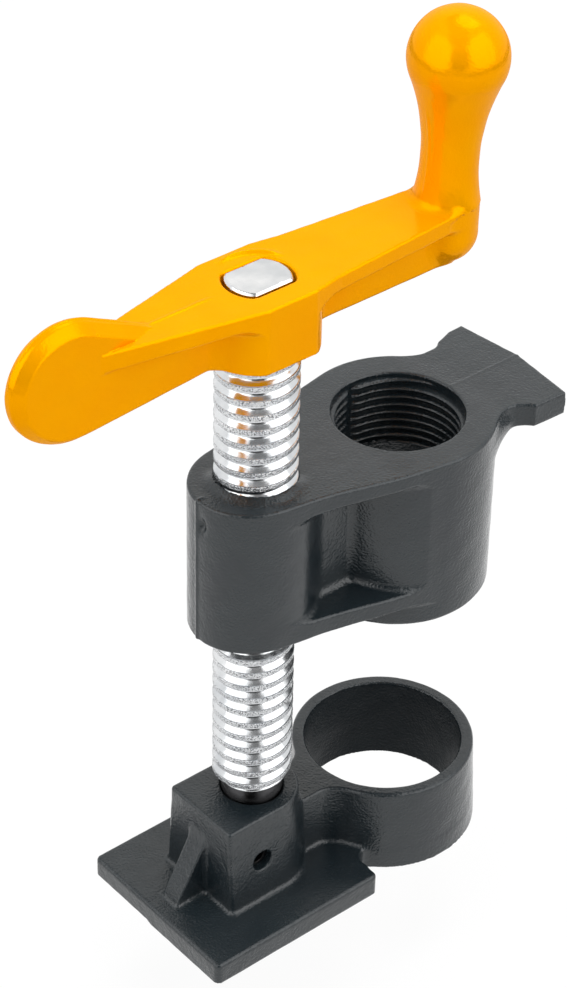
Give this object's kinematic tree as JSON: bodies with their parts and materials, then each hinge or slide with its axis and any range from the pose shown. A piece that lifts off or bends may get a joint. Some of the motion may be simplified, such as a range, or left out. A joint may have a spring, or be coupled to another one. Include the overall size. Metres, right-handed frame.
{
  "type": "pipe clamp head",
  "caption": "Screw end of a woodworking pipe clamp: cast head with threaded pipe hole, crank screw, and a jaw whose ring runs on the pipe.",
  "frame": {"origin": "on the screw's axis, at the clamping face of the moving jaw", "axes": "+Z along the screw, from the clamping face towards the handle; +X from the screw's axis to the pipe's axis; +Y across the jaw"},
  "size_m": [0.1216, 0.0404, 0.1837],
  "materials": {
    "enamelled_casting": "dark grey gloss enamel on a sand casting",
    "spring_steel": "plain rolled spring steel",
    "zinc_plated_steel": "bright zinc plate",
    "painted_handle": "glossy orange-yellow paint on a casting"
  },
  "bodies": {
    "head": {"clamp_head": "enamelled_casting"},
    "jaw": {"moving_jaw": "enamelled_casting", "retaining_pin": "spring_steel"},
    "screw": {"screw_spindle": "zinc_plated_steel", "crank_handle": "painted_handle"}
  },
  "joints": [
    {"name": "jaw_slide", "type": "slide", "parent": "head", "child": "jaw", "axis": [0, 0, 1], "range_m": [-0.0285, 0.0435]},
    {"name": "screw_turn", "type": "hinge", "parent": "jaw", "child": "screw", "pos_m": [0, 0, 0.0256], "axis": [0, 0, 1], "range_deg": [-3220, 4925]}
  ],
  "couplings": [
    {"joint": "jaw_slide", "follows": "screw_turn", "m_per_rad": 0.00050532}
  ]
}
